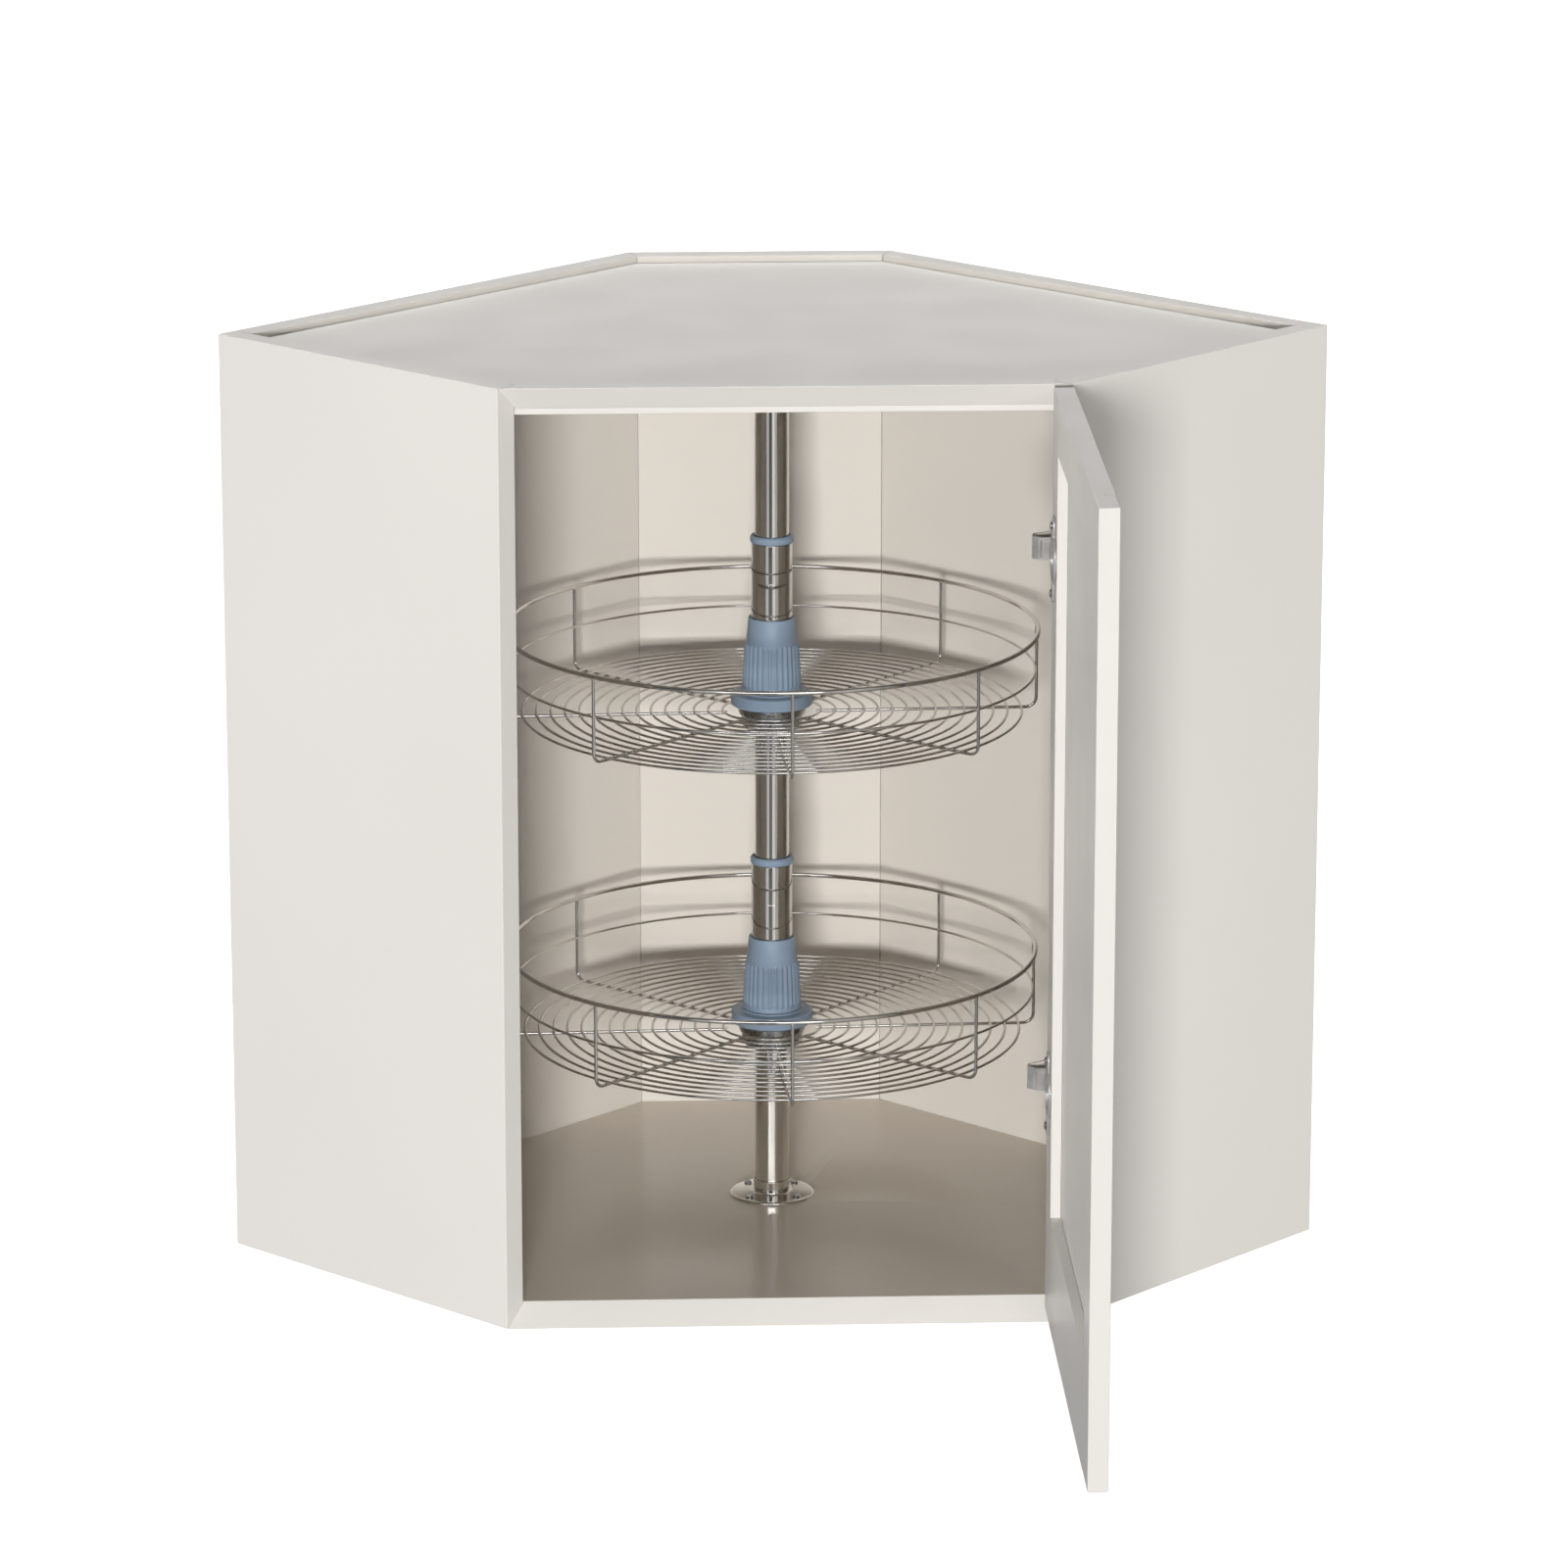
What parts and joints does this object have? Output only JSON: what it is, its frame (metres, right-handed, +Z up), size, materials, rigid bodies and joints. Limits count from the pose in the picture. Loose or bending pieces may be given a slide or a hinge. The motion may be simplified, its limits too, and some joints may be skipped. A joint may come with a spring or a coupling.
{
  "type": "pantry cabinet",
  "caption": "Diagonal corner pantry cabinet with a hinged framed door and round wire trays that turn on a central post.",
  "frame": {"origin": "on the carousel's axis at the underside of the bottom panel", "axes": "+X to the right of someone facing the door, +Y into the room's corner, +Z up along the carousel's axis"},
  "size_m": [0.8486, 0.9407, 0.73],
  "materials": {
    "carcass_lacquer": "warm off-white semi-matt lacquer on board",
    "door_lacquer": "warm off-white semi-matt lacquer on board",
    "post_chrome": "polished chrome tube",
    "basket_chrome": "polished chrome wire",
    "hub_plastic": "satin blue-grey moulded plastic",
    "collar_steel": "plain steel",
    "hinge_steel": "nickel-plated steel",
    "screw_steel": "zinc-plated steel"
  },
  "bodies": {
    "cabinet": {"left_end_panel": "carcass_lacquer", "right_end_panel": "carcass_lacquer", "left_back_panel": "carcass_lacquer", "right_back_panel": "carcass_lacquer", "rear_panel": "carcass_lacquer", "top_panel": "carcass_lacquer", "bottom_panel": "carcass_lacquer", "top_front_rail": "carcass_lacquer", "carousel_post": "post_chrome", "post_base_flange": "post_chrome", "base_flange_screw_1": "screw_steel", "base_flange_screw_2": "screw_steel", "base_flange_screw_3": "screw_steel", "base_flange_screw_4": "screw_steel", "post_top_flange": "post_chrome", "top_flange_screw_1": "screw_steel", "top_flange_screw_2": "screw_steel", "top_flange_screw_3": "screw_steel", "top_flange_screw_4": "screw_steel", "post_lock_screw_upper": "screw_steel", "post_lock_screw_lower": "screw_steel", "upper_hinge_arm": "hinge_steel", "upper_hinge_pin": "hinge_steel", "upper_hinge_plate": "hinge_steel", "upper_plate_screw_top": "screw_steel", "upper_plate_screw_bottom": "screw_steel", "lower_hinge_arm": "hinge_steel", "lower_hinge_pin": "hinge_steel", "lower_hinge_plate": "hinge_steel", "lower_plate_screw_top": "screw_steel", "lower_plate_screw_bottom": "screw_steel"},
    "door": {"door_hinge_stile": "door_lacquer", "door_free_stile": "door_lacquer", "door_top_rail": "door_lacquer", "door_bottom_rail": "door_lacquer", "door_panel": "door_lacquer", "upper_hinge_cup": "hinge_steel", "upper_cup_screw_top": "screw_steel", "upper_cup_screw_bottom": "screw_steel", "lower_hinge_cup": "hinge_steel", "lower_cup_screw_top": "screw_steel", "lower_cup_screw_bottom": "screw_steel"},
    "upper_carrier": {"upper_sleeve": "post_chrome", "upper_top_bush": "hub_plastic", "upper_support_collar": "collar_steel"},
    "upper_nut": {"upper_clamp_nut": "hub_plastic"},
    "upper_tray": {"upper_hub_flange": "hub_plastic", "upper_basket_floor": "basket_chrome", "upper_basket_rim": "basket_chrome"},
    "lower_carrier": {"lower_sleeve": "post_chrome", "lower_top_bush": "hub_plastic", "lower_support_collar": "collar_steel"},
    "lower_nut": {"lower_clamp_nut": "hub_plastic"},
    "lower_tray": {"lower_hub_flange": "hub_plastic", "lower_basket_floor": "basket_chrome", "lower_basket_rim": "basket_chrome"}
  },
  "joints": [
    {"name": "door_hinge", "type": "hinge", "parent": "cabinet", "child": "door", "pos_m": [0.2029, -0.2751, 0.36], "axis": [0, 0, 1], "range_deg": [-90, 15]},
    {"name": "upper_tray_height", "type": "slide", "parent": "cabinet", "child": "upper_carrier", "axis": [0, 0, 1], "range_m": [-0.04, 0.04]},
    {"name": "upper_clamp_twist", "type": "hinge", "parent": "upper_carrier", "child": "upper_nut", "pos_m": [0, 0, 0.4614], "axis": [0, 0, 1], "range_deg": [0, 90]},
    {"name": "upper_tray_spin", "type": "hinge", "parent": "upper_carrier", "child": "upper_tray", "pos_m": [0, 0, 0.4164], "axis": [0, 0, 1], "continuous": true},
    {"name": "lower_tray_height", "type": "slide", "parent": "cabinet", "child": "lower_carrier", "axis": [0, 0, 1], "range_m": [-0.04, 0.04]},
    {"name": "lower_clamp_twist", "type": "hinge", "parent": "lower_carrier", "child": "lower_nut", "pos_m": [0, 0, 0.2024], "axis": [0, 0, 1], "range_deg": [0, 90]},
    {"name": "lower_tray_spin", "type": "hinge", "parent": "lower_carrier", "child": "lower_tray", "pos_m": [0, 0, 0.1574], "axis": [0, 0, 1], "continuous": true}
  ]
}
